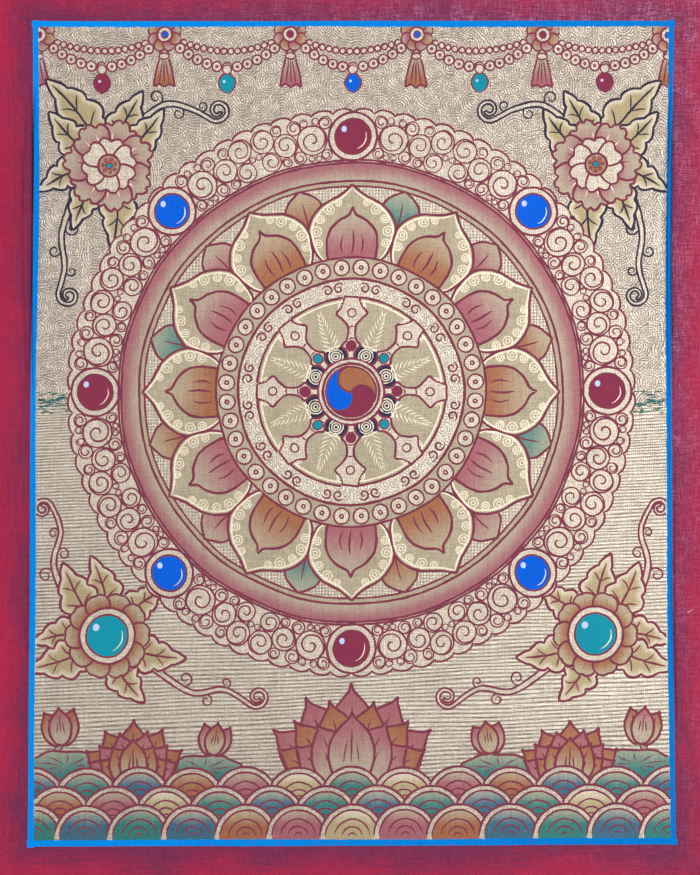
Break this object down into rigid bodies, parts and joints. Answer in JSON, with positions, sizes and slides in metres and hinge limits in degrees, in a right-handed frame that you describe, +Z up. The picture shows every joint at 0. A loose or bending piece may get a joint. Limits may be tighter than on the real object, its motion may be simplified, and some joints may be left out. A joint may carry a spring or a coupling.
{
  "type": "thangka scroll painting",
  "caption": "Small painted cotton canvas of a hanging scroll painting: gold picture inside a blue line, with a wide red margin, hung flat by its top edge.",
  "frame": {"origin": "middle of the cloth's top edge, halfway through its thickness", "axes": "+Z up along the cloth's height, +X to the right as the painted face is seen, -Y out of the painted face"},
  "size_m": [0.2295, 0.009, 0.2852],
  "materials": {
    "painted_canvas": "primed cotton painted in burnished gold with matte mineral colours, a bright blue line round the picture and a crimson margin; plain unbleached cotton behind",
    "maroon_ink": "matte brush line",
    "navy_ink": "matte brush line",
    "pale_gold": "burnished gold brush line, satin"
  },
  "bodies": {
    "root": {"painted_canvas": "painted_canvas"}
  },
  "joints": []
}
